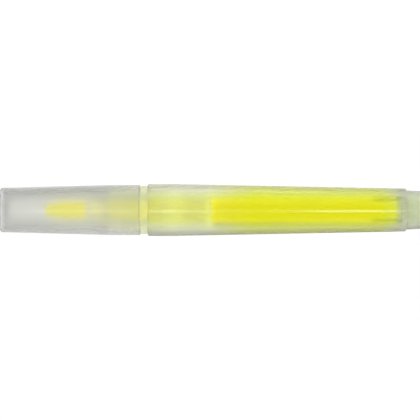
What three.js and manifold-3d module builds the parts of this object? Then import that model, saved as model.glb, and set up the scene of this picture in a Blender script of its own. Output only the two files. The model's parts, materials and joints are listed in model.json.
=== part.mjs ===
// Highlighter with a chisel nib, a translucent body and a push-on cap, lying on its side.
// Sizes are in millimetres. X runs along the pen, from the cap's closed end to the tail, and Z is up.
// Every piece is turned about the pen's own axis, and its outline is written as [station, radius],
// where the station is the distance along the pen from the cap's closed end.

import * as THREE from 'three';
import { mergeVertices } from 'three/addons/utils/BufferGeometryUtils.js';
import Module from 'manifold-3d';

const wasm = await Module();
wasm.setup();

// Overall sizes, with the cap on
const penLength = 132;
const barrelDiameter = 16.3;
const capLength = 44;

// Outside of the barrel
const barrelBandLength = 8;
const barrelTaper = 1.4;
const barrelFrontRound = 0.45;
const barrelBackRound = 0.7;
const barrelFrontWall = 2.35;
const barrelBackWall = 1.75;
const barrelEndWall = 1.3;

// Tail, over which the cap can be posted
const tailLength = 4.8;
const tailTaper = 0.2;
const tailRound = 0.9;
const tailWall = 1.45;

// Cap and the liner inside it
const capStep = 0.27;
const capBandLength = 9;
const capTaper = 0.9;
const capEndRound = 1;
const capEndWall = 1.3;
const capEndSideWall = 1.4;
const capMouthWall = 1.6;
const capMouthChamfer = 0.35;
const linerWall = 1.1;
const linerEndWall = 0.85;
const linerMouthChamfer = 0.3;

// Front section: snout, seal ring, spigot in the cap, collar, and plug in the barrel
const collarLength = 2.1;
const collarStep = 0.6;
const collarRound = 0.25;
const spigotLength = 9.9;
const spigotChamfer = 0.5;
const gripRingFromMouth = 2.2;
const gripRingWidth = 1.1;
const gripRingHeight = 0.1;
const sealRingLength = 2.5;
const sealConeLength = 0.8;
const snoutLength = 4.2;
const snoutStep = 1.15;
const snoutRound = 0.6;
const plugLength = 20;
const plugRecess = 0.3;
const chamberDiameter = 7.2;
const nibGripLength = 7.5;

// Rings on the plug, each at its distance behind the barrel's front edge
const snapStart = 4.7;
const snapWidth = 1.1;
const snapHeight = 0.5;
const sealRibs = [
  { start: 6.5, width: 1 },
  { start: 8.3, width: 0.5 },
  { start: 10.3, width: 0.4 },
  { start: 18.6, width: 1.4 },
];
const ventWidth = 1.2;

// Nib
const nibDiameter = 5.2;
const nibExposed = 12.5;
const nibIntoReservoir = 6;
const chiselLength = 5;
const chiselEdge = 2.6;
const chiselSlant = 15;

// Ink reservoir: a fibre core in a film. The plug's bore holds its front, and ribs in the barrel its back.
const reservoirFromBarrelFront = 0.4;
const reservoirDiameter = 8.2;
const filmThickness = 0.15;
const reservoirBackGap = 1.6;
const centringRibs = 4;
const centringRibLength = 9;
const centringRibThickness = 0.9;

// Clearances
const seatGap = 0.05;
const mouthGap = 0.2;
const linerGap = 0.05;
const linerSeatGap = 0.3;
const sealGap = 0.04;
const spigotGap = 0.12;
const plugGap = 0.03;
const snapGap = 0.12;
const nibGap = 0.05;
const filmGap = 0.03;
const plugBoreGap = 0.05;
const ribGap = 0.05;

// Facets round each turned piece, with a flat one underneath for the pen to lie on
const facets = 40;
const arcSteps = 3;
const weldDistance = 1e-4;

// Stations along the pen
const collarStart = capLength + mouthGap;
const barrelStart = collarStart + collarLength + seatGap;
const tailStart = penLength - tailLength;
const boreEnd = tailStart - barrelEndWall;
const shoulder = collarStart - spigotLength;
const linerMouth = shoulder - linerSeatGap;
const sealRingStart = shoulder - sealRingLength;
const snoutBase = sealRingStart - sealConeLength;
const snoutTip = snoutBase - snoutLength;
const nibTip = snoutTip - nibExposed;
const chamberStart = snoutTip + nibGripLength;
const plugEnd = barrelStart + plugLength;
const reservoirStart = barrelStart + reservoirFromBarrelFront;
const reservoirSeat = reservoirStart - seatGap;
const reservoirEnd = boreEnd - reservoirBackGap;
const nibBack = reservoirStart + nibIntoReservoir;
const nibConeStart = nibBack - nibDiameter / 2;
const linerEndStart = capEndWall + seatGap;
const linerInnerEnd = linerEndStart + linerEndWall;
const capBandStart = capLength - capBandLength;
const gripRingStart = capLength - gripRingFromMouth - gripRingWidth;

// Radii
const barrelRadius = barrelDiameter / 2;
const barrelBackRadius = barrelRadius - barrelTaper;
const capMouthRadius = barrelRadius - capStep;
const capEndRadius = capMouthRadius - capTaper;
const capMouthBore = capMouthRadius - capMouthWall;
const capEndBore = capEndRadius - capEndSideWall;
const collarRadius = barrelRadius - collarStep;
const tailRadius = capMouthBore - spigotGap;
const tailEndRadius = tailRadius - tailTaper;
const tailRecessRadius = tailEndRadius - tailWall;
const nibRadius = nibDiameter / 2;
const nibBackRadius = nibRadius / 2;
const nibBoreRadius = nibRadius + nibGap;
const chamberRadius = chamberDiameter / 2;
const reservoirRadius = reservoirDiameter / 2;
const coreRadius = reservoirRadius - filmThickness - filmGap;
const plugBoreRadius = reservoirRadius + plugBoreGap;

// The value at a station between two ends of a straight taper.
function between(station, start, startValue, end, endValue) {
  const share = (station - start) / (end - start);
  return startValue + share * (endValue - startValue);
}

function barrelBoreAt(station) {
  const front = barrelRadius - barrelFrontWall;
  const back = barrelBackRadius - barrelBackWall;
  return between(station, barrelStart, front, boreEnd, back);
}

function capBoreAt(station) {
  return between(station, capEndWall, capEndBore, capLength, capMouthBore);
}

function linerBoreAt(station) {
  return capBoreAt(station) - linerGap - linerWall;
}

// Points on a quarter circle that rounds an outline's corner, from one angle in degrees to another.
function corner(station, radius, round, fromAngle, toAngle) {
  const points = [];
  for (let step = 0; step <= arcSteps; step += 1) {
    const angle = THREE.MathUtils.degToRad(between(step, 0, fromAngle, arcSteps, toAngle));
    points.push([station + round * Math.cos(angle), radius + round * Math.sin(angle)]);
  }
  return points;
}

// Turns an outline about the X axis. An outline runs along the outside from the cap towards the tail and
// back along the inside. It starts and ends on the axis, or is closed here.
function turned(outline) {
  const points = outline.map(([station, radius]) => new THREE.Vector2(radius, station));
  const first = points[0];
  const last = points[points.length - 1];
  if (first.x > 0 || last.x > 0) {
    points.push(first.clone());
  }
  const geometry = new THREE.LatheGeometry(points, facets, Math.PI / facets);
  geometry.rotateZ(-Math.PI / 2);
  return geometry;
}

// A block given by its lowest and highest corners.
function block(low, high) {
  const size = high.map((value, axis) => value - low[axis]);
  const geometry = new THREE.BoxGeometry(...size);
  geometry.translate(...low.map((value, axis) => value + size[axis] / 2));
  return geometry;
}

function solid(geometry) {
  const bare = geometry.clone();
  bare.deleteAttribute('normal');
  bare.deleteAttribute('uv');
  const merged = mergeVertices(bare, weldDistance);
  const corners = [];
  for (let at = 0; at < merged.index.count; at += 3) {
    const [a, b, c] = [0, 1, 2].map((offset) => merged.index.getX(at + offset));
    if (a !== b && b !== c && c !== a) {
      corners.push(a, b, c);
    }
  }
  return new wasm.Manifold(new wasm.Mesh({
    numProp: 3,
    vertProperties: new Float32Array(merged.attributes.position.array),
    triVerts: new Uint32Array(corners),
  }));
}

function geometryOf(body) {
  const mesh = body.getMesh();
  const geometry = new THREE.BufferGeometry();
  geometry.setAttribute('position', new THREE.BufferAttribute(mesh.vertProperties, 3));
  geometry.setIndex(new THREE.BufferAttribute(mesh.triVerts, 1));
  geometry.computeVertexNormals();
  return geometry;
}

function capShell() {
  return turned([
    [0, 0],
    ...corner(capEndRound, capEndRadius - capEndRound, capEndRound, 180, 90),
    [capBandStart, capMouthRadius],
    [capLength, capMouthRadius],
    [capLength, capMouthBore + capMouthChamfer],
    [capLength - capMouthChamfer, capBoreAt(capLength - capMouthChamfer)],
    [capEndWall, capEndBore],
    [capEndWall, 0],
  ]);
}

function capLiner() {
  const outerEnd = capBoreAt(linerEndStart) - linerGap;
  const outerMouth = capBoreAt(linerMouth) - linerGap;
  return turned([
    [linerEndStart, 0],
    [linerEndStart, outerEnd - linerMouthChamfer],
    [linerEndStart + linerMouthChamfer, outerEnd],
    [linerMouth - linerMouthChamfer, outerMouth],
    [linerMouth, outerMouth - linerMouthChamfer],
    [linerMouth, linerBoreAt(linerMouth)],
    [linerInnerEnd, linerBoreAt(linerInnerEnd)],
    [linerInnerEnd, 0],
  ]);
}

// The plug's outline behind the collar: it stays clear of the bore, and each ring comes out close to it.
function plugOutline() {
  const clearOfBore = (station) => barrelBoreAt(station) - plugRecess;
  const ring = (start, width, top) => {
    const begin = barrelStart + start;
    const end = begin + width;
    return [[begin, clearOfBore(begin)], [begin, top(begin)], [end, top(end)], [end, clearOfBore(end)]];
  };
  const rings = [
    { start: snapStart, width: snapWidth, top: (station) => barrelBoreAt(station) + snapHeight - snapGap },
    ...sealRibs.map((rib) => ({ ...rib, top: (station) => barrelBoreAt(station) - plugGap })),
  ];
  return [
    [barrelStart - seatGap, clearOfBore(barrelStart)],
    ...rings.flatMap(({ start, width, top }) => ring(start, width, top)),
  ];
}

function frontSection() {
  const sealRadius = linerBoreAt(sealRingStart) - sealGap;
  const snoutRadius = sealRadius - snoutStep;
  const spigotAt = (station) => capBoreAt(station) - spigotGap;
  const gripRingEnd = gripRingStart + gripRingWidth;
  const body = solid(turned([
    [snoutTip, nibBoreRadius],
    ...corner(snoutTip + snoutRound, snoutRadius - snoutRound, snoutRound, 180, 90),
    [snoutBase, snoutRadius],
    [sealRingStart, sealRadius],
    [shoulder, sealRadius],
    [shoulder, spigotAt(shoulder) - spigotChamfer],
    [shoulder + spigotChamfer, spigotAt(shoulder)],
    [gripRingStart, spigotAt(shoulder)],
    [gripRingStart + gripRingWidth / 2, spigotAt(gripRingStart) + gripRingHeight],
    [gripRingEnd, spigotAt(shoulder)],
    [collarStart, spigotAt(shoulder)],
    ...corner(collarStart + collarRound, collarRadius - collarRound, collarRound, 180, 90),
    [collarStart + collarLength, collarRadius],
    ...plugOutline(),
    [plugEnd, plugBoreRadius],
    [reservoirSeat, plugBoreRadius],
    [reservoirSeat, chamberRadius],
    [chamberStart, chamberRadius],
    [chamberStart, nibBoreRadius],
  ]));
  const ventFloor = barrelBoreAt(plugEnd) - plugRecess;
  const ventStart = barrelStart + snapStart - seatGap;
  const vents = [-1, 1].map((side) => {
    const inner = side * ventFloor;
    const outer = side * barrelRadius;
    const low = [ventStart, Math.min(inner, outer), -ventWidth / 2];
    const high = [plugEnd + seatGap, Math.max(inner, outer), ventWidth / 2];
    return solid(block(low, high));
  });
  return geometryOf(vents.reduce((rest, vent) => rest.subtract(vent), body));
}

// The tip is narrowed from both sides to a blade, then cut off at a slant, and the blade stands upright.
function nib() {
  const rod = solid(turned([
    [nibTip, 0],
    [nibTip, nibRadius],
    [nibConeStart, nibRadius],
    [nibBack, nibBackRadius],
    [nibBack, 0],
  ]));
  const reach = 2 * chiselLength + nibDiameter;
  const slope = Math.atan2(nibRadius - chiselEdge / 2, chiselLength);
  const cuts = [-1, 1].map((side) => {
    const cut = block([-reach, -nibDiameter, 0], [reach, nibDiameter, reach]);
    cut.rotateY(-slope);
    cut.translate(nibTip, 0, chiselEdge / 2);
    if (side < 0) {
      cut.rotateX(Math.PI);
    }
    return solid(cut);
  });
  const end = block([-reach, -reach, -reach], [0, reach, reach]);
  end.rotateZ(THREE.MathUtils.degToRad(chiselSlant));
  end.translate(nibTip, nibRadius, 0);
  cuts.push(solid(end));
  const blade = cuts.reduce((rest, cut) => rest.subtract(cut), rod);
  return geometryOf(blade.rotate([90, 0, 0]));
}

function reservoirCore() {
  return turned([
    [nibBack + nibGap, 0],
    [nibBack + nibGap, nibBackRadius + nibGap],
    [nibConeStart, nibBoreRadius],
    [reservoirStart, nibBoreRadius],
    [reservoirStart, coreRadius],
    [reservoirEnd, coreRadius],
    [reservoirEnd, 0],
  ]);
}

function reservoirFilm() {
  const inner = reservoirRadius - filmThickness;
  return turned([
    [reservoirStart, inner],
    [reservoirStart, reservoirRadius],
    [reservoirEnd, reservoirRadius],
    [reservoirEnd, inner],
  ]);
}

function barrel() {
  const grooveStart = barrelStart + snapStart - snapGap;
  const grooveEnd = barrelStart + snapStart + snapWidth + snapGap;
  const shell = solid(turned([
    [barrelStart, barrelBoreAt(barrelStart)],
    ...corner(barrelStart + barrelFrontRound, barrelRadius - barrelFrontRound, barrelFrontRound, 180, 90),
    [barrelStart + barrelBandLength, barrelRadius],
    ...corner(tailStart - barrelBackRound, barrelBackRadius - barrelBackRound, barrelBackRound, 90, 0),
    [tailStart, tailRadius],
    ...corner(penLength - tailRound, tailEndRadius - tailRound, tailRound, 90, 0),
    [penLength, tailRecessRadius],
    [tailStart, tailRecessRadius],
    [tailStart, 0],
    [boreEnd, 0],
    [boreEnd, barrelBoreAt(boreEnd)],
    [grooveEnd, barrelBoreAt(grooveEnd)],
    [grooveEnd, barrelBoreAt(grooveEnd) + snapHeight],
    [grooveStart, barrelBoreAt(grooveStart) + snapHeight],
    [grooveStart, barrelBoreAt(grooveStart)],
  ]));
  const ribs = [];
  for (let index = 0; index < centringRibs; index += 1) {
    const rib = block(
      [boreEnd - centringRibLength, -centringRibThickness / 2, reservoirRadius + ribGap],
      [boreEnd + barrelEndWall / 2, centringRibThickness / 2, barrelBackRadius - barrelBackWall / 2],
    );
    rib.rotateX((index + 0.5) * 2 * Math.PI / centringRibs);
    ribs.push(solid(rib));
  }
  return geometryOf(ribs.reduce((rest, rib) => rest.add(rib), shell));
}

const frostedClear = { color: 0xe9ebe6, roughness: 0.45, metalness: 0, transparent: true, opacity: 0.5 };
const frostedTinted = { color: 0xe4eec2, roughness: 0.45, metalness: 0, transparent: true, opacity: 0.5 };
const inkYellow = { color: 0xf2ee1c, roughness: 0.85, metalness: 0 };
const clearFilm = { color: 0xf6f49a, roughness: 0.2, metalness: 0, transparent: true, opacity: 0.35 };

function piece(name, geometry, finish) {
  const mesh = new THREE.Mesh(geometry, new THREE.MeshStandardMaterial(finish));
  mesh.name = name;
  return mesh;
}

const pen = new THREE.Group();
pen.add(
  piece('barrel', barrel(), frostedTinted),
  piece('front_section', frontSection(), frostedTinted),
  piece('nib', nib(), inkYellow),
  piece('reservoir_core', reservoirCore(), inkYellow),
  piece('reservoir_film', reservoirFilm(), clearFilm),
  piece('cap_shell', capShell(), frostedClear),
  piece('cap_liner', capLiner(), frostedClear),
);

// The origin is under the pen's middle, at the height of the surface that it lies on.
pen.position.set(-penLength / 2, 0, barrelRadius * Math.cos(Math.PI / facets));

export default pen;
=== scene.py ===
"""Highlighter with a frosted body, a fibre ink reservoir and a pull-off cap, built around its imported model.

Each operator in the Highlighter panel makes one piece, or one group of like pieces, in metres and in the
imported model's own frame: X runs along the pen from the cap's closed end to the tail, and Z is up.
"""

import json
import math

import bmesh
import bpy
from bpy.props import FloatProperty, FloatVectorProperty, PointerProperty
from bpy.types import Operator, Panel, PropertyGroup
from mathutils import Matrix, Vector

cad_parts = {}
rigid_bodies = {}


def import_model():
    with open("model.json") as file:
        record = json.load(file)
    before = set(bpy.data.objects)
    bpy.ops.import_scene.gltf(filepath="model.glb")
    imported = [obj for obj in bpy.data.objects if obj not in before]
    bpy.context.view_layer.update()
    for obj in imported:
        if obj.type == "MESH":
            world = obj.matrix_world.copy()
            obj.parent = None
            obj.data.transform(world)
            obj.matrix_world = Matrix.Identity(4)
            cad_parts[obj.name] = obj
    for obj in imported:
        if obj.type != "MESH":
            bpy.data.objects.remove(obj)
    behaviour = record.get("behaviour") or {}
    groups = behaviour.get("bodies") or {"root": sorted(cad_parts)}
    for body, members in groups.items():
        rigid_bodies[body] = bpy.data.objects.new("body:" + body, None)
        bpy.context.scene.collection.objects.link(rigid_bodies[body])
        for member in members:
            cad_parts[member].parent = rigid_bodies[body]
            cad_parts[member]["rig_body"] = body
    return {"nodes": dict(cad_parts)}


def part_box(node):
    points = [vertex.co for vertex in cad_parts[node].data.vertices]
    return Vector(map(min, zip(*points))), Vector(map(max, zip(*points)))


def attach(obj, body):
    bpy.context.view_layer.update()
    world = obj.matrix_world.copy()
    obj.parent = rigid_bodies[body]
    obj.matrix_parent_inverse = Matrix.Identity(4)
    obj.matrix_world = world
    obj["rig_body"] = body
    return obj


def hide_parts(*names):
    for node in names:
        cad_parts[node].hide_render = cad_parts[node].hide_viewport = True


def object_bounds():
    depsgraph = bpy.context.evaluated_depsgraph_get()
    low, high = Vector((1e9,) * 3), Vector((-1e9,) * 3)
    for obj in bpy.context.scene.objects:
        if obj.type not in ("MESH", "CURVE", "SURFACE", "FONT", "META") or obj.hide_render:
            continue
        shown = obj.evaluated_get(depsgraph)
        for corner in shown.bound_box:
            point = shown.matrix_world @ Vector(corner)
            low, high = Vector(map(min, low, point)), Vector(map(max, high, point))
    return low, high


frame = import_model()

bl_info = {
    "name": "Frosted highlighter",
    "version": (1, 0, 0),
    "blender": (4, 5, 0),
    "location": "3D View > Sidebar > Highlighter",
    "description": "Makes the pieces and finishes of a frosted highlighter around its packed model",
    "category": "Add Mesh",
}

MM = 0.001
CAD_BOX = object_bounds()


def box_radius(node):
    """Half the height of a turned CAD node, which is the radius of the largest circle inside its facets."""
    low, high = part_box(node)
    return (high.z - low.z) / 2


def box_ends(node):
    """The stations at which a CAD node starts and ends along the pen."""
    low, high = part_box(node)
    return low.x, high.x


def axis_height():
    """The height of the pen's own axis above the surface that it lies on."""
    low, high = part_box("barrel")
    return (low.z + high.z) / 2


def length(name, millimetres, description):
    """A length that a user can change, given in millimetres."""
    return FloatProperty(
        name=name,
        description=description,
        default=millimetres * MM,
        min=0,
        precision=5,
        unit="LENGTH",
        subtype="DISTANCE",
    )


def colour(name, red, green, blue, description):
    """A linear colour that a user can change."""
    return FloatVectorProperty(
        name=name,
        description=description,
        default=(red, green, blue, 1),
        size=4,
        min=0,
        max=1,
        subtype="COLOR",
    )


class BarrelSizes(PropertyGroup):
    """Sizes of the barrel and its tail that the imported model's box doesn't give."""

    band: length("Front band", 8, "Length of the straight band at the barrel's front")
    taper: length("Taper", 1.4, "How much less the radius is at the back than at the front")
    front_round: length("Front edge", 0.45, "Rounding of the front edge")
    back_round: length("Back edge", 0.7, "Rounding of the edge above the tail")
    front_wall: length("Front wall", 2.35, "Wall at the barrel's front")
    back_wall: length("Back wall", 1.75, "Wall at the barrel's back")
    end_wall: length("End wall", 1.3, "Thickness of the wall that closes the bore")
    tail: length("Tail length", 4.8, "Length of the tail over which the cap can be posted")
    tail_taper: length("Tail taper", 0.2, "How much less the tail's radius is at its end")
    tail_round: length("Tail edge", 0.9, "Rounding of the tail's end")
    tail_wall: length("Tail wall", 1.45, "Wall round the recess in the tail")
    rib_length: length("Rib length", 9, "Length of the ribs that hold the reservoir's back end")
    rib_width: length("Rib width", 0.9, "Thickness of those ribs")
    gate: length("Gate mark radius", 0.9, "Radius of the moulding mark in the tail's recess")
    gate_depth: length("Gate mark depth", 0.15, "Depth of that mark")


class CapSizes(PropertyGroup):
    """Sizes of the cap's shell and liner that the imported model's boxes don't give."""

    band: length("Mouth band", 9, "Length of the straight band at the cap's mouth")
    taper: length("Taper", 0.9, "How much less the radius is at the closed end than at the mouth")
    end_round: length("End edge", 1, "Rounding of the closed end")
    end_wall: length("End wall", 1.3, "Thickness of the closed end")
    end_side_wall: length("Side wall at the end", 1.4, "Side wall next to the closed end")
    mouth_wall: length("Side wall at the mouth", 1.6, "Side wall at the mouth")
    mouth_chamfer: length("Mouth chamfer", 0.35, "Chamfer inside the mouth")
    liner_gap: length("Liner gap", 0.05, "Gap between the shell and the liner")
    liner_wall: length("Liner wall", 1.1, "Side wall of the liner")
    liner_end_wall: length("Liner end wall", 0.85, "Thickness of the liner's closed end")
    gate: length("Gate mark radius", 0.8, "Radius of the moulding mark in the closed end")
    gate_depth: length("Gate mark depth", 0.15, "Depth of that mark")


class SectionSizes(PropertyGroup):
    """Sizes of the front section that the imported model's box doesn't give."""

    collar: length("Collar length", 2.1, "Length of the collar between cap and barrel")
    spigot: length("Spigot length", 9.9, "Length of the spigot inside the cap's mouth")
    spigot_gap: length("Spigot gap", 0.12, "Gap between the spigot and the cap's bore")
    grip_ring: length("Grip ring height", 0.1, "How far the ring that grips the cap stands out")
    grip_ring_width: length("Grip ring width", 1.1, "Width of that ring")
    grip_ring_place: length("Grip ring place", 2.2, "Distance of that ring from the cap's mouth")
    seal_ring: length("Seal ring length", 2.5, "Length of the ring on which the liner seals")
    seal_cone: length("Seal cone length", 0.8, "Length of the cone in front of that ring")
    seal_gap: length("Seal gap", 0.04, "Gap between that ring and the liner")
    snout_step: length("Snout step", 1.15, "How much less the snout's radius is than the seal ring's")
    snout_round: length("Snout edge", 0.6, "Rounding of the snout's front edge")
    plug_recess: length("Plug recess", 0.3, "How far the plug stays clear of the barrel's bore")
    plug_gap: length("Rib gap", 0.03, "Gap between a seal rib and the barrel's bore")
    snap_place: length("Snap ring place", 4.7, "Distance of the snap ring behind the barrel's front")
    snap_width: length("Snap ring width", 1.1, "Width of the snap ring")
    snap_height: length("Snap ring height", 0.5, "Depth of the groove that the snap ring sits in")
    snap_gap: length("Snap gap", 0.12, "Gap round the snap ring in its groove")
    chamber: length("Chamber radius", 3.6, "Radius of the chamber behind the nib's grip")
    nib_grip: length("Nib grip", 7.5, "Length of the bore that grips the nib")
    nib_gap: length("Nib gap", 0.05, "Gap between the nib and its bore")
    seat_gap: length("Seat gap", 0.05, "Gap between pieces that touch on the real pen")
    vent: length("Vent width", 1.2, "Width of the air grooves across the plug's rings")


class InkSizes(PropertyGroup):
    """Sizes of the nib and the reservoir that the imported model's boxes don't give."""

    chisel: length("Chisel length", 5, "Length over which the nib narrows to its edge")
    chisel_edge: length("Chisel edge", 2.6, "Thickness of the nib's edge")
    film: length("Film thickness", 0.12, "Thickness of the film round the fibre core")
    slant: FloatProperty(
        name="Chisel slant",
        description="How far the nib's edge leans from square",
        default=math.radians(15),
        subtype="ANGLE",
    )


class PenColours(PropertyGroup):
    """Colours of the finishes."""

    cap: colour("Cap", 0.97, 0.975, 0.955, "Frosted plastic of the cap")
    # cap_mouth, front and middle are painted light: the yellow of the ink inside, given to the clear plastic
    # round it
    cap_mouth: colour("Cap mouth", 0.95, 0.96, 0.90, "Frosted plastic of the cap towards its mouth")
    front: colour("Barrel front", 0.93, 0.96, 0.68, "Frosted plastic where the nib's ink shows")
    middle: colour("Barrel middle", 0.89, 0.97, 0.05, "Frosted plastic round the reservoir")
    tail: colour("Tail", 0.90, 0.95, 0.72, "Frosted plastic behind the reservoir")
    ink: colour("Ink", 0.91, 0.81, 0.003, "Fluorescent ink in the fibres")
    ink_dry: colour("Thin ink", 0.86, 0.87, 0.16, "Fibres that hold less ink")
    floor: colour("Floor", 0.1, 0.1, 0.1, "Plain pale floor")


class Highlighter(PropertyGroup):
    """Everything that a user can change."""

    barrel: PointerProperty(type=BarrelSizes)
    cap: PointerProperty(type=CapSizes)
    section: PointerProperty(type=SectionSizes)
    ink: PointerProperty(type=InkSizes)
    colours: PointerProperty(type=PenColours)


# Outlines and turned meshes

SEGMENTS = 144
ROUND_STEPS = 6

# The most of an outline's side that one corner's arc takes up
ARC_REACH = 0.49

# Points closer than this are one point
SAME_PLACE = 1e-7

# Edges that turn by more than this stay sharp
SHARP_FROM = math.radians(32)

# Roundings of a plain moulded edge and of a gate mark's edge
SOFT_EDGE = 0.12 * MM
GATE_EDGE = 0.05 * MM


def between(station, start, start_value, end, end_value):
    """The value at a station between the two ends of a straight taper."""
    share = (station - start) / (end - start)
    return start_value + share * (end_value - start_value)


def rounded(outline, closed):
    """The points of an outline after each of its corners (station, radius, rounding) is made an arc."""
    points = []
    count = len(outline)
    for index, (station, radius, rounding) in enumerate(outline):
        here = Vector((station, radius))
        at_end = not closed and index in (0, count - 1)
        if rounding <= 0 or at_end:
            points.append(here)
            continue
        before = Vector(outline[index - 1][:2]) - here
        after = Vector(outline[(index + 1) % count][:2]) - here
        half = before.angle(after) / 2
        reach = min(rounding / math.tan(half), ARC_REACH * before.length, ARC_REACH * after.length)
        arc = reach * math.tan(half)
        centre = here + (before.normalized() + after.normalized()).normalized() * (arc / math.sin(half))
        start = here + before.normalized() * reach - centre
        end = here + after.normalized() * reach - centre
        for step in range(ROUND_STEPS + 1):
            share = step / ROUND_STEPS
            spoke = start.lerp(end, share).normalized() * arc
            points.append(centre + spoke)
    return points


def turned(name, outline, closed=False):
    """A piece turned about the pen's axis. An outline that isn't closed starts and ends on the axis."""
    points = rounded(outline, closed)
    height = axis_height()
    vertices, faces, rings = [], [], []
    for point in points:
        if point.y < SAME_PLACE:
            rings.append([len(vertices)] * SEGMENTS)
            vertices.append((point.x, 0, height))
            continue
        rings.append([len(vertices) + k for k in range(SEGMENTS)])
        for k in range(SEGMENTS):
            angle = 2 * math.pi * k / SEGMENTS
            vertices.append((point.x, point.y * math.sin(angle), height + point.y * math.cos(angle)))
    pairs = list(zip(rings, rings[1:]))
    if closed:
        pairs.append((rings[-1], rings[0]))
    for here, there in pairs:
        for k in range(SEGMENTS):
            after = (k + 1) % SEGMENTS
            corners = [here[k], here[after], there[after], there[k]]
            faces.append(list(dict.fromkeys(corners)))
    return mesh_object(name, vertices, faces)


def mesh_object(name, vertices, faces):
    """A smooth-shaded object whose sharp edges stay sharp."""
    mesh = bpy.data.meshes.new(name)
    mesh.from_pydata(vertices, [], faces)
    mesh.validate()
    form = bmesh.new()
    form.from_mesh(mesh)
    bmesh.ops.remove_doubles(form, verts=form.verts, dist=SAME_PLACE)
    bmesh.ops.recalc_face_normals(form, faces=form.faces)
    form.to_mesh(mesh)
    form.free()
    piece = bpy.data.objects.new(name, mesh)
    bpy.context.scene.collection.objects.link(piece)
    smooth(piece)
    return piece


def bake(piece):
    """Turns the piece's modifiers into mesh."""
    applied = bpy.data.meshes.new_from_object(piece.evaluated_get(bpy.context.evaluated_depsgraph_get()))
    piece.modifiers.clear()
    piece.data = applied


def smooth(piece):
    """Smooth shading in which wide faces keep their true direction and sharp edges stay sharp."""
    piece.data.shade_smooth()
    piece.data.set_sharp_from_angle(angle=SHARP_FROM)
    modifier = piece.modifiers.new("Weighted normals", "WEIGHTED_NORMAL")
    modifier.keep_sharp = True
    modifier.weight = 100
    bake(piece)


def block(name, low, high):
    """A plain cutter or rib, from its lowest to its highest corner."""
    corners = [(x, y, z) for x in (low[0], high[0]) for y in (low[1], high[1]) for z in (low[2], high[2])]
    faces = [(0, 1, 3, 2), (4, 6, 7, 5), (0, 4, 5, 1), (2, 3, 7, 6), (0, 2, 6, 4), (1, 5, 7, 3)]
    return mesh_object(name, corners, faces)


def combine(piece, others, operation):
    """Applies a boolean of each other object to the piece, and deletes the others."""
    for other in others:
        modifier = piece.modifiers.new("Boolean", "BOOLEAN")
        modifier.operation = operation
        modifier.solver = "EXACT"
        modifier.object = other
        bake(piece)
        bpy.data.objects.remove(other)
    smooth(piece)


def soften(piece, rounding):
    """Rounds the piece's sharp edges."""
    modifier = piece.modifiers.new("Bevel", "BEVEL")
    modifier.width = rounding
    modifier.segments = 3
    modifier.limit_method = "ANGLE"
    modifier.angle_limit = math.radians(25)
    bake(piece)
    smooth(piece)


def stand_for(piece, node, material):
    """Puts a finished piece in place of its CAD node."""
    piece.data.materials.clear()
    piece.data.materials.append(material)
    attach(piece, frame["nodes"][node]["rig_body"])
    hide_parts(node)


# Sizes that several pieces share

def barrel_bore(pen, station):
    """The barrel's bore radius, which tapers towards the tail."""
    start, end = box_ends("barrel")
    radius = box_radius("barrel")
    bore_end = end - pen.barrel.tail - pen.barrel.end_wall
    front = radius - pen.barrel.front_wall
    back = radius - pen.barrel.taper - pen.barrel.back_wall
    return between(station, start, front, bore_end, back)


def cap_bore(pen, station):
    """The cap shell's bore radius, which widens towards its mouth."""
    start, end = box_ends("cap_shell")
    radius = box_radius("cap_shell")
    bore_start = start + pen.cap.end_wall
    at_end = radius - pen.cap.taper - pen.cap.end_side_wall
    return between(station, bore_start, at_end, end, radius - pen.cap.mouth_wall)


def liner_bore(pen, station):
    """The liner's bore radius."""
    return cap_bore(pen, station) - pen.cap.liner_gap - pen.cap.liner_wall


def plug_radius(pen, station):
    """The radius of the front section's plug between its rings."""
    return barrel_bore(pen, station) - pen.section.plug_recess


def pen_share(station):
    """Where a station lies between the cap's closed end, at 0, and the tail's end, at 1."""
    first, last = CAD_BOX[0][0], CAD_BOX[1][0]
    return (station - first) / (last - first)


# Materials

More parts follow.
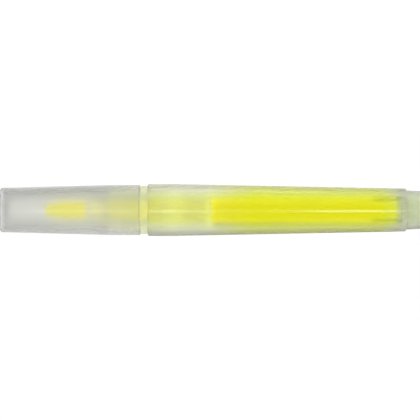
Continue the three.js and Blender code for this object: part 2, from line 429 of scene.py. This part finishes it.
class Nodes:
    """Short forms for building the node tree of one material or world."""

    def __init__(self, owner, shader="Principled BSDF", place="Object"):
        owner.use_nodes = True
        self.owner = owner
        self.tree = owner.node_tree
        self.shader = self.tree.nodes[shader]
        self.place = self.add("ShaderNodeTexCoord").outputs[place]

    def add(self, kind, **settings):
        """A new node with the given settings."""
        node = self.tree.nodes.new(kind)
        for key, value in settings.items():
            setattr(node, key, value)
        return node

    def link(self, source, target):
        """Joins an output to an input."""
        self.tree.links.new(source, target)

    def stretched(self, x, y, z):
        """The piece's own coordinates, stretched along each axis."""
        mapping = self.add("ShaderNodeMapping")
        mapping.inputs["Scale"].default_value = (x, y, z)
        self.link(self.place, mapping.inputs["Vector"])
        return mapping.outputs["Vector"]

    def noise(self, scale, detail=2, roughness=0.5, vector=None):
        """Noise, in the piece's own coordinates unless others are given."""
        node = self.add("ShaderNodeTexNoise")
        node.inputs["Scale"].default_value = scale
        node.inputs["Detail"].default_value = detail
        node.inputs["Roughness"].default_value = roughness
        self.link(vector or self.place, node.inputs["Vector"])
        return node.outputs["Fac"]

    def ranged(self, value, low, high, from_low=0.0, from_high=1.0):
        """The value moved from one range to another, and kept inside it."""
        node = self.add("ShaderNodeMapRange")
        node.inputs["From Min"].default_value = from_low
        node.inputs["From Max"].default_value = from_high
        node.inputs["To Min"].default_value = low
        node.inputs["To Max"].default_value = high
        self.link(value, node.inputs["Value"])
        return node.outputs["Result"]

    def ramp(self, value, stops):
        """The colour at a value between stops, each of which is a position and a colour."""
        node = self.add("ShaderNodeValToRGB")
        elements = node.color_ramp.elements
        while len(elements) < len(stops):
            elements.new(0.5)
        for element, (position, tone) in zip(elements, stops):
            element.position = position
            element.color = tone
        self.link(value, node.inputs["Fac"])
        return node.outputs["Color"]

    def mixed(self, share, first, second):
        """Two colours mixed by a share. Each of the three is an output or a constant."""
        node = self.add("ShaderNodeMix", data_type="RGBA")
        sockets = [node.inputs[0], node.inputs[6], node.inputs[7]]
        for socket, value in zip(sockets, (share, first, second)):
            if isinstance(value, bpy.types.NodeSocket):
                self.link(value, socket)
            else:
                socket.default_value = value
        return node.outputs[2]

    def bump(self, height, distance, strength, normal=None):
        """The normal of a surface with this height, on top of another normal if one is given."""
        node = self.add("ShaderNodeBump")
        node.inputs["Distance"].default_value = distance
        node.inputs["Strength"].default_value = strength
        self.link(height, node.inputs["Height"])
        if normal is not None:
            self.link(normal, node.inputs["Normal"])
        return node.outputs["Normal"]

    def along_pen(self):
        """0 at the cap's closed end and 1 at the tail's end."""
        split = self.add("ShaderNodeSeparateXYZ")
        self.link(self.place, split.inputs["Vector"])
        return self.ranged(split.outputs["X"], 0.0, 1.0, CAD_BOX[0][0], CAD_BOX[1][0])

    def from_axis(self):
        """The distance from the pen's own axis, in metres."""
        across = self.add("ShaderNodeMapping")
        across.inputs["Location"].default_value = (0, 0, -axis_height())
        across.inputs["Scale"].default_value = (0, 1, 1)
        self.link(self.place, across.inputs["Vector"])
        measure = self.add("ShaderNodeVectorMath", operation="LENGTH")
        self.link(across.outputs["Vector"], measure.inputs[0])
        return measure.outputs["Value"]


PLASTIC_IOR = 1.49

# The depth over which the plastic goes from its frosted inside to its smoother outside
SKIN_DEPTH = 0.6 * MM

# The colour of the faint clouds in the plastic
WHITENED = (0.97, 0.97, 0.95, 1)


def frosted(name, stops, skin, polish, frost, haze=0.0, glow=0.0, glow_stops=None, gloss=0.0):
    """Frosted moulded plastic: clearer on the outside, beyond the skin's radius, than in its bores.

    stops give the tint along the pen. polish and frost are the roughness outside and inside. haze is the
    share of light that the plastic scatters back, and the rest goes through. glow is a painted glow, light
    that the plastic gives off in its tint though it is no lamp, and glow_stops give it along the pen instead.
    gloss is the strength of its smooth top layer.
    """
    nodes = Nodes(bpy.data.materials.new(name))
    shader = nodes.shader
    shader.inputs["Transmission Weight"].default_value = 1 - haze
    shader.inputs["IOR"].default_value = PLASTIC_IOR
    flow = nodes.noise(260, 3, 0.6, nodes.stretched(0.35, 1, 1))
    tint = nodes.ramp(nodes.along_pen(), stops)
    clouded = nodes.mixed(nodes.ranged(flow, 0.0, 0.03, 0.35, 0.75), tint, WHITENED)
    nodes.link(clouded, shader.inputs["Base Color"])
    # Painted glow: the plastic gives off light in its own tint, though it is no lamp
    nodes.link(tint, shader.inputs["Emission Color"])
    shader.inputs["Emission Strength"].default_value = glow
    if glow_stops:
        nodes.link(nodes.ramp(nodes.along_pen(), glow_stops), shader.inputs["Emission Strength"])
    shader.inputs["Coat Weight"].default_value = gloss
    shader.inputs["Coat Roughness"].default_value = 0.1
    patches = nodes.ranged(nodes.noise(900, 2, 0.5), -0.04, 0.04, 0.3, 0.7)
    depth = nodes.ranged(nodes.from_axis(), frost, polish, skin - SKIN_DEPTH, skin)
    roughness = nodes.add("ShaderNodeMath", operation="ADD")
    nodes.link(depth, roughness.inputs[0])
    nodes.link(patches, roughness.inputs[1])
    nodes.link(roughness.outputs["Value"], shader.inputs["Roughness"])
    grain = nodes.noise(5200, 3, 0.6)
    coarse = nodes.bump(flow, 0.00004, 0.25)
    nodes.link(nodes.bump(grain, 0.000012, 0.4, coarse), shader.inputs["Normal"])
    return nodes.owner


def fibre(name, wet, thin, stops, glow):
    """Bundled fibres soaked with ink, with fine lengthwise strands. glow is a painted glow: it stands for the
    ink's fluorescence and also makes up for lamp light that doesn't reach inside the pen.
    """
    nodes = Nodes(bpy.data.materials.new(name))
    shader = nodes.shader
    strands = nodes.noise(4200, 3, 0.65, nodes.stretched(0.04, 1, 1))
    soak = nodes.noise(500, 2, 0.5, nodes.stretched(0.25, 1, 1))
    patches = nodes.ranged(soak, 0.0, 0.14, 0.35, 0.8)
    fade = nodes.ramp(nodes.along_pen(), stops)
    wetness = nodes.mixed(patches, wet, thin)
    faded = nodes.mixed(fade, wetness, thin)
    nodes.link(faded, shader.inputs["Base Color"])
    nodes.link(nodes.ranged(strands, 0.75, 0.95), shader.inputs["Roughness"])
    shader.inputs["Specular IOR Level"].default_value = 0.1
    # Painted glow in the ink's colour, for its fluorescence and for lamp light that doesn't reach inside the
    # pen
    nodes.link(faded, shader.inputs["Emission Color"])
    shader.inputs["Emission Strength"].default_value = glow
    nodes.link(nodes.bump(strands, 0.00006, 0.5), shader.inputs["Normal"])
    return nodes.owner


def cap_tint(colours):
    """The tint along the cap, for its shell and its liner, yellower towards the mouth as painted light from
    the ink inside.
    """
    return [(0.0, tuple(colours.cap)), (0.15, tuple(colours.cap)), (0.33, tuple(colours.cap_mouth))]


def film(name):
    """Thin clear film."""
    nodes = Nodes(bpy.data.materials.new(name))
    shader = nodes.shader
    shader.inputs["Base Color"].default_value = (0.97, 0.96, 0.7, 1)
    wrinkles = nodes.noise(700, 2, 0.5, nodes.stretched(0.3, 1, 1))
    nodes.link(nodes.bump(wrinkles, 0.00003, 0.4), shader.inputs["Normal"])
    nodes.link(nodes.ranged(wrinkles, 0.12, 0.3), shader.inputs["Roughness"])
    shader.inputs["Alpha"].default_value = 0.06
    return nodes.owner


def grey(value):
    """An opaque grey."""
    return (value, value, value, 1)


def greys(*stops):
    """The stops of a ramp that runs through greys."""
    return [(position, grey(value)) for position, value in stops]


# Half of the light that the floor gives the pen, across the pen from one side to the other. Its dips beside
# the pen are the pen's shadow painted into the floor's glow, and its brighter middle right under the pen a
# pool of painted light.
FLOOR_SIDES = (-0.1, 0.1)
FLOOR_BY_CAP = greys(
    (0.10, 0.36),
    (0.40, 0.36),
    (0.44, 0.27),
    (0.46, 0.34),
    (0.475, 0.56),
    (0.53, 0.56),
    (0.55, 0.40),
    (0.60, 0.16),
    (0.80, 0.28),
)
FLOOR_BY_BARREL = greys(
    (0.10, 0.95),
    (0.40, 0.42),
    (0.45, 0.14),
    (0.47, 0.16),
    (0.48, 0.49),
    (0.525, 0.49),
    (0.55, 0.36),
    (0.62, 0.45),
    (0.80, 1),
)

# The stretch along the pen over which the first of those becomes the second
CAP_TO_BARREL = (-0.027, -0.017)

# How much of the floor's light is replaced by that of its shaded ends, along the pen
FLOOR_LENGTH = (-0.07, 0.07)
FLOOR_ENDS = greys((0.036, 1), (0.043, 0), (0.915, 0), (0.930, 1), (0.937, 1), (0.945, 0.3))
SHADED_END = grey(0.3)

# What the camera sees of the floor, also halved, and the strength that doubles both
FLOOR_SEEN = grey(0.49)
FLOOR_STRENGTH = 2

# The sky's brightness, by the height from the horizon to straight up, and towards the pen's two ends
SKY = greys((0.0, 1.0), (0.35, 0.95), (0.5, 0.25), (0.8, 0.12))
SKY_AT_ENDS = grey(0.4)


def plain_floor(name, paper):
    """Plain paper that the camera sees evenly pale, while the light that it gives the pen varies, with the
    pen's shadow painted in.
    """
    nodes = Nodes(bpy.data.materials.new(name))
    shader = nodes.shader
    speckle = nodes.noise(60)
    nodes.link(nodes.mixed(speckle, paper, grey(0.12)), shader.inputs["Base Color"])
    shader.inputs["Roughness"].default_value = 0.8
    shader.inputs["Specular IOR Level"].default_value = 0.1
    split = nodes.add("ShaderNodeSeparateXYZ")
    nodes.link(nodes.place, split.inputs["Vector"])
    across = nodes.ranged(split.outputs["Y"], 0, 1, *FLOOR_SIDES)
    by_barrel = nodes.ranged(split.outputs["X"], 0, 1, *CAP_TO_BARREL)
    glow = nodes.mixed(by_barrel, nodes.ramp(across, FLOOR_BY_CAP), nodes.ramp(across, FLOOR_BY_BARREL))
    ends = nodes.ramp(nodes.ranged(split.outputs["X"], 0, 1, *FLOOR_LENGTH), FLOOR_ENDS)
    glow = nodes.mixed(ends, glow, SHADED_END)
    path = nodes.add("ShaderNodeLightPath")
    nodes.link(nodes.mixed(path.outputs["Is Camera Ray"], glow, FLOOR_SEEN), shader.inputs["Emission Color"])
    shader.inputs["Emission Strength"].default_value = FLOOR_STRENGTH
    return nodes.owner


# Operators

def area_light(name, place, aim, size, size_y, power):
    """A soft rectangular lamp at a place, facing a point."""
    lamp = bpy.data.lights.new(name, "AREA")
    lamp.shape = "RECTANGLE"
    lamp.size = size
    lamp.size_y = size_y
    lamp.energy = power
    thing = bpy.data.objects.new(name, lamp)
    thing.location = place
    thing.rotation_euler = (Vector(aim) - Vector(place)).to_track_quat("-Z", "Y").to_euler()
    bpy.context.scene.collection.objects.link(thing)


class MakeStage(Operator):
    """Camera straight above the pen, a plain pale floor and soft lamps"""

    bl_idname = "highlighter.make_stage"
    bl_label = "Stage"

    distance = 0.83
    sensor = 36.0
    frame_margin = 0.9976
    camera_shift = -0.00016
    camera_reach = 20
    floor_half = 1.5

    # Name, place along the pen, width and power of the lamps for the bright line along the pen
    streaks = (("long_streak", -0.07, 0.19, 0.20), ("back_streak", 0.128, 0.06, 0.14))

    def execute(self, context):
        pen = context.scene.highlighter
        low, high = CAD_BOX
        width = (high[0] - low[0]) * self.frame_margin
        camera = bpy.data.cameras.new("camera")
        camera.sensor_width = self.sensor
        camera.lens = self.sensor * self.distance / width
        camera.clip_end = self.camera_reach
        viewer = bpy.data.objects.new("camera", camera)
        viewer.location = (self.camera_shift, 0, axis_height() + self.distance)
        context.scene.collection.objects.link(viewer)
        context.scene.camera = viewer

        half = self.floor_half
        corners = [(-half, -half, 0), (half, -half, 0), (half, half, 0), (-half, half, 0)]
        floor = mesh_object("floor", corners, [(0, 1, 2, 3)])
        floor.data.materials.append(plain_floor("floor_paper", pen.colours.floor))

        middle = (0, 0, axis_height())
        area_light("key", (0, 0.55, 0.60), middle, size=0.9, size_y=0.4, power=0.25)
        area_light("fill", (0, -0.70, 0.50), middle, size=0.9, size_y=0.4, power=0.15)
        for name, x, width, power in self.streaks:
            area_light(name, (x, -0.09, 0.87), (x, -0.09, 0), size=width, size_y=0.17, power=power)

        world = bpy.data.worlds.new("studio")
        light = Nodes(world, "Background", "Generated")
        split = light.add("ShaderNodeSeparateXYZ")
        light.link(light.place, split.inputs["Vector"])
        dome = light.ramp(split.outputs["Z"], SKY)
        lengthwise = light.add("ShaderNodeMath", operation="ABSOLUTE")
        light.link(split.outputs["X"], lengthwise.inputs[0])
        ends = light.ranged(lengthwise.outputs["Value"], 0, 1, 0.6, 0.95)
        light.link(light.mixed(ends, dome, SKY_AT_ENDS), light.shader.inputs["Color"])
        context.scene.world = world
        context.scene.view_settings.view_transform = "Standard"
        return {"FINISHED"}


class MakeBarrel(Operator):
    """Tapered barrel with its tail, its bore, the groove for the snap ring and the reservoir's ribs"""

    bl_idname = "highlighter.make_barrel"
    bl_label = "Barrel"

    ribs = 4

    def execute(self, context):
        pen = context.scene.highlighter
        sizes, section = pen.barrel, pen.section
        start, end = box_ends("barrel")
        radius = box_radius("barrel")
        back = radius - sizes.taper
        tail_start = end - sizes.tail
        bore_end = tail_start - sizes.end_wall
        tail = box_radius("cap_shell") - pen.cap.mouth_wall - section.spigot_gap
        tail_end = tail - sizes.tail_taper
        recess = tail_end - sizes.tail_wall
        groove_start = start + section.snap_place - section.snap_gap
        groove_end = start + section.snap_place + section.snap_width + section.snap_gap
        outline = [
            (start, barrel_bore(pen, start), SOFT_EDGE),
            (start, radius, sizes.front_round),
            (start + sizes.band, radius, 2 * MM),
            (tail_start, back, sizes.back_round),
            (tail_start, tail, SOFT_EDGE),
            (end, tail_end, sizes.tail_round),
            (end, recess, SOFT_EDGE),
            (tail_start, recess - SOFT_EDGE, 0.4 * MM),
            (tail_start, sizes.gate, GATE_EDGE),
            (tail_start - sizes.gate_depth, sizes.gate - sizes.gate_depth, GATE_EDGE),
            (tail_start - sizes.gate_depth, 0, 0),
            (bore_end, 0, 0),
            (bore_end, barrel_bore(pen, bore_end), 0.7 * MM),
            (groove_end, barrel_bore(pen, groove_end), SOFT_EDGE),
            (groove_end, barrel_bore(pen, groove_end) + section.snap_height, SOFT_EDGE),
            (groove_start, barrel_bore(pen, groove_start) + section.snap_height, SOFT_EDGE),
            (groove_start, barrel_bore(pen, groove_start), SOFT_EDGE),
        ]
        barrel = turned("barrel_body", outline, closed=True)
        inner = box_radius("reservoir_film") + section.seat_gap
        outer = back - sizes.back_wall / 2
        half = sizes.rib_width / 2
        ribs = []
        for index in range(self.ribs):
            low = (bore_end - sizes.rib_length, -half, inner)
            rib = block("barrel_rib", low, (bore_end + sizes.end_wall / 2, half, outer))
            turn = Matrix.Rotation((index + 0.5) * 2 * math.pi / self.ribs, 4, "X")
            rib.data.transform(Matrix.Translation((0, 0, axis_height())) @ turn)
            ribs.append(rib)
        combine(barrel, ribs, "UNION")
        colours = pen.colours
        # The yellow tint round the reservoir and in front of it is painted light from the ink inside, not a
        # colour of the plastic
        stops = [
            (0.35, tuple(colours.front)),
            (0.48, tuple(colours.front)),
            (0.60, tuple(colours.middle)),
            (0.90, tuple(colours.middle)),
            (0.955, tuple(colours.tail)),
        ]
        plastic = frosted("barrel_plastic", stops, tail, polish=0.36, frost=0.42, gloss=1.0)
        stand_for(barrel, "barrel", plastic)
        return {"FINISHED"}


class MakeSection(Operator):
    """Front section: snout, seal ring, spigot, collar and the ringed plug inside the barrel"""

    bl_idname = "highlighter.make_section"
    bl_label = "Front section"

    # Each rib's distance behind the barrel's front and its length, in millimetres
    ribs = ((6.5, 1.0), (8.3, 0.5), (10.3, 0.4))

    # Where the rib that ends the plug begins, measured in the same way
    last_rib = 18.6

    # The share of the pen's length over which a ring's glow sets in
    glow_step = 0.001

    def execute(self, context):
        pen = context.scene.highlighter
        sizes = pen.section
        snout_tip, plug_end = box_ends("front_section")
        collar = box_radius("front_section")
        barrel_start = box_ends("barrel")[0]
        mouth = box_ends("cap_shell")[1]
        collar_end = barrel_start - sizes.seat_gap
        collar_start = collar_end - sizes.collar
        shoulder = collar_start - sizes.spigot
        seal_start = shoulder - sizes.seal_ring
        snout_base = seal_start - sizes.seal_cone
        seal = liner_bore(pen, seal_start) - sizes.seal_gap
        snout = seal - sizes.snout_step
        spigot = cap_bore(pen, shoulder) - sizes.spigot_gap
        ring_start = mouth - sizes.grip_ring_place - sizes.grip_ring_width
        ring_end = ring_start + sizes.grip_ring_width
        ring = cap_bore(pen, ring_start) - sizes.spigot_gap + sizes.grip_ring
        nib_bore = box_radius("nib") + sizes.nib_gap
        seat = box_ends("reservoir_core")[0] - sizes.seat_gap
        plug_bore = box_radius("reservoir_film") + sizes.seat_gap
        outline = [
            (snout_tip, nib_bore, SOFT_EDGE),
            (snout_tip, snout, sizes.snout_round),
            (snout_base, snout, 0.5 * MM),
            (seal_start, seal, 0.3 * MM),
            (shoulder, seal, SOFT_EDGE),
            (shoulder, spigot, 0.5 * MM),
            (ring_start, spigot, SOFT_EDGE),
            ((ring_start + ring_end) / 2, ring, 0.4 * MM),
            (ring_end, spigot, SOFT_EDGE),
            (collar_start, spigot, SOFT_EDGE),
            (collar_start, collar, 0.25 * MM),
            (collar_end, collar, SOFT_EDGE),
            (collar_end, plug_radius(pen, barrel_start), SOFT_EDGE),
        ]
        rings = [(sizes.snap_place, sizes.snap_width, sizes.snap_height - sizes.snap_gap)]
        rings += [(place * MM, width * MM, -sizes.plug_gap) for place, width in self.ribs]
        spans = []
        for place, width, rise in rings:
            begin = barrel_start + place
            finish = begin + width
            spans.append((begin, finish))
            outline += [
                (begin, plug_radius(pen, begin), SOFT_EDGE),
                (begin, barrel_bore(pen, begin) + rise, SOFT_EDGE),
                (finish, barrel_bore(pen, finish) + rise, SOFT_EDGE),
                (finish, plug_radius(pen, finish), SOFT_EDGE),
            ]
        last = barrel_start + self.last_rib * MM
        spans.append((last, plug_end))
        outline += [
            (last, plug_radius(pen, last), SOFT_EDGE),
            (last, barrel_bore(pen, last) - sizes.plug_gap, SOFT_EDGE),
            (plug_end, barrel_bore(pen, plug_end) - sizes.plug_gap, SOFT_EDGE),
            (plug_end, plug_bore, SOFT_EDGE),
            (seat, plug_bore, SOFT_EDGE),
            (seat, sizes.chamber, SOFT_EDGE),
            (snout_tip + sizes.nib_grip, sizes.chamber, 0.5 * MM),
            (snout_tip + sizes.nib_grip, nib_bore, SOFT_EDGE),
        ]
        piece = turned("section_body", outline, closed=True)
        height = axis_height()
        half = sizes.vent / 2
        groove_floor = plug_radius(pen, plug_end)
        vent_start = barrel_start + sizes.snap_place - sizes.seat_gap
        vent_end = plug_end + sizes.seat_gap
        outer = box_radius("barrel")
        vents = [
            block("vent", (vent_start, groove_floor, height - half), (vent_end, outer, height + half)),
            block("vent", (vent_start, -outer, height - half), (vent_end, -groove_floor, height + half)),
        ]
        combine(piece, vents, "DIFFERENCE")
        colours = pen.colours
        # The yellow tint towards the plug is painted light from the ink inside, not a colour of the plastic
        stops = [(0.2, tuple(colours.cap)), (0.32, tuple(colours.front)), (0.5, tuple(colours.front))]
        # Painted glow: the section gives off light, dimmer over the spigot and brightest over its snap ring
        # and ribs, though it is no lamp
        dim, bright, brightest = grey(0.09), grey(0.155), grey(0.22)
        glow = [(0.245, bright), (0.26, dim), (0.35, dim), (0.36, bright)]
        for begin, finish in spans:
            glow += [
                (pen_share(begin) - self.glow_step, bright),
                (pen_share(begin), brightest),
                (pen_share(finish), brightest),
                (pen_share(finish) + self.glow_step, bright),
            ]
        plastic = frosted(
            "section_plastic", stops, sizes.chamber, polish=0.34, frost=0.42, haze=0.42, glow_stops=glow
        )
        stand_for(piece, "front_section", plastic)
        return {"FINISHED"}


class MakeNib(Operator):
    """Fibre nib with a slanted chisel edge"""

    bl_idname = "highlighter.make_nib"
    bl_label = "Nib"

    def execute(self, context):
        pen = context.scene.highlighter
        start, end = box_ends("nib")
        radius = box_radius("nib")
        outline = [
            (start, 0, 0),
            (start, radius, 0.5 * MM),
            (end - radius, radius, 0.3 * MM),
            (end, radius / 2, 0.3 * MM),
            (end, 0, 0),
        ]
        nib = turned("nib_felt", outline)
        sizes = pen.ink
        reach = 3 * sizes.chisel
        slope = math.atan2(radius - sizes.chisel_edge / 2, sizes.chisel)
        upright = Matrix.Translation((0, 0, axis_height())) @ Matrix.Rotation(math.pi / 2, 4, "X")
        lift = Matrix.Translation((start, 0, sizes.chisel_edge / 2))
        tilt = Matrix.Rotation(-slope, 4, "Y")
        cuts = []
        for side in (math.pi, 0):
            cut = block("nib_side_cut", (-reach, -reach, 0), (reach, reach, reach))
            cut.data.transform(upright @ Matrix.Rotation(side, 4, "X") @ lift @ tilt)
            cuts.append(cut)
        end_cut = block("nib_end_cut", (-reach, -reach, -reach), (0, reach, reach))
        place = Matrix.Translation((start, radius, 0))
        end_cut.data.transform(upright @ place @ Matrix.Rotation(sizes.slant, 4, "Z"))
        combine(nib, [*cuts, end_cut], "DIFFERENCE")
        soften(nib, 0.4 * MM)
        colours = pen.colours
        stops = greys((0.12, 0.6), (0.15, 0.35), (0.2, 0.25), (0.4, 0))
        # The nib's fibres give off a painted glow
        felt = fibre("nib_fibre", colours.ink, colours.ink_dry, stops, glow=0.8)
        stand_for(nib, "nib", felt)
        return {"FINISHED"}


class MakeCore(Operator):
    """Fibre core of the ink reservoir, with the hole for the nib's back end"""

    bl_idname = "highlighter.make_core"
    bl_label = "Reservoir core"

    def execute(self, context):
        pen = context.scene.highlighter
        start, end = box_ends("reservoir_core")
        radius = box_radius("reservoir_core")
        hole = box_radius("nib") + pen.section.nib_gap
        hole_end = box_ends("nib")[1] + pen.section.seat_gap
        outline = [
            (hole_end, 0, 0),
            (hole_end, hole / 2, 0),
            (hole_end - hole, hole, 0),
            (start, hole, 0.1 * MM),
            (start, radius, 0.3 * MM),
            (end, radius, 0.6 * MM),
            (end, 0, 0),
        ]
        core = turned("reservoir_fibre", outline)
        colours = pen.colours
        stops = greys((0.0, 0), (0.89, 0), (0.94, 0.9))
        # The core's fibres give off a painted glow
        soaked = fibre("reservoir_ink", colours.ink, colours.ink_dry, stops, glow=0.82)
        stand_for(core, "reservoir_core", soaked)
        return {"FINISHED"}


class MakeFilm(Operator):
    """Clear film round the reservoir's fibres"""

    bl_idname = "highlighter.make_film"
    bl_label = "Reservoir film"

    def execute(self, context):
        pen = context.scene.highlighter
        start, end = box_ends("reservoir_film")
        outer = box_radius("reservoir_film")
        inner = outer - pen.ink.film
        outline = [(start, inner, 0), (start, outer, 0), (end, outer, 0), (end, inner, 0)]
        wrap = turned("reservoir_wrap", outline, closed=True)
        stand_for(wrap, "reservoir_film", film("wrap_film"))
        return {"FINISHED"}


class MakeShell(Operator):
    """Outer wall of the cap"""

    bl_idname = "highlighter.make_shell"
    bl_label = "Cap shell"

    def execute(self, context):
        pen = context.scene.highlighter
        sizes = pen.cap
        start, end = box_ends("cap_shell")
        radius = box_radius("cap_shell")
        bore_start = start + sizes.end_wall
        shell = turned("cap_body", [
            (start + sizes.gate_depth, 0, 0),
            (start + sizes.gate_depth, sizes.gate - sizes.gate_depth, GATE_EDGE),
            (start, sizes.gate, GATE_EDGE),
            (start, radius - sizes.taper, sizes.end_round),
            (end - sizes.band, radius, 6 * MM),
            (end, radius, 0.2 * MM),
            (end, cap_bore(pen, end) + sizes.mouth_chamfer, SOFT_EDGE),
            (end - sizes.mouth_chamfer, cap_bore(pen, end - sizes.mouth_chamfer), SOFT_EDGE),
            (bore_start, cap_bore(pen, bore_start), 0.4 * MM),
            (bore_start, 0, 0),
        ])
        stops = cap_tint(pen.colours)
        skin = radius - sizes.taper
        # The cap's shell gives off a faint painted glow
        plastic = frosted("cap_plastic", stops, skin, polish=0.2, frost=0.5, glow=0.022, gloss=0.1)
        stand_for(shell, "cap_shell", plastic)
        return {"FINISHED"}


class MakeLiner(Operator):
    """Inner cap that seals round the nib"""

    bl_idname = "highlighter.make_liner"
    bl_label = "Cap liner"

    def execute(self, context):
        pen = context.scene.highlighter
        sizes = pen.cap
        start, end = box_ends("cap_liner")
        inner_end = start + sizes.liner_end_wall
        outer_at_end = cap_bore(pen, start) - sizes.liner_gap
        outer_at_mouth = cap_bore(pen, end) - sizes.liner_gap
        liner = turned("liner_body", [
            (start, 0, 0),
            (start, outer_at_end, 0.45 * MM),
            (end, outer_at_mouth, 0.3 * MM),
            (end, liner_bore(pen, end), 0.2 * MM),
            (inner_end, liner_bore(pen, inner_end), 0.5 * MM),
            (inner_end, 0, 0),
        ])
        stops = cap_tint(pen.colours)
        # The liner gives off a faint painted glow
        plastic = frosted("liner_plastic", stops, outer_at_end, polish=0.36, frost=0.5, haze=0.06, glow=0.03)
        stand_for(liner, "cap_liner", plastic)
        return {"FINISHED"}


class HighlighterPanel(Panel):
    """Buttons that make the highlighter's pieces"""

    bl_idname = "VIEW3D_PT_highlighter"
    bl_label = "Highlighter"
    bl_space_type = "VIEW_3D"
    bl_region_type = "UI"
    bl_category = "Highlighter"

    def draw(self, context):
        for maker in MAKERS:
            self.layout.operator(maker.bl_idname)


MAKERS = (MakeStage, MakeBarrel, MakeSection, MakeNib, MakeCore, MakeFilm, MakeShell, MakeLiner)
GROUPS = (BarrelSizes, CapSizes, SectionSizes, InkSizes, PenColours, Highlighter)


def register():
    """Registers the sizes, the operators and the panel."""
    for group in GROUPS:
        bpy.utils.register_class(group)
    bpy.types.Scene.highlighter = PointerProperty(type=Highlighter)
    for maker in MAKERS:
        bpy.utils.register_class(maker)
    bpy.utils.register_class(HighlighterPanel)


def unregister():
    """Takes them away again."""
    bpy.utils.unregister_class(HighlighterPanel)
    for maker in reversed(MAKERS):
        bpy.utils.unregister_class(maker)
    del bpy.types.Scene.highlighter
    for group in reversed(GROUPS):
        bpy.utils.unregister_class(group)


def main():
    """Makes every piece in turn."""
    register()
    for maker in MAKERS:
        group, name = maker.bl_idname.split(".")
        getattr(getattr(bpy.ops, group), name)()


if __name__ == "__main__":
    main()
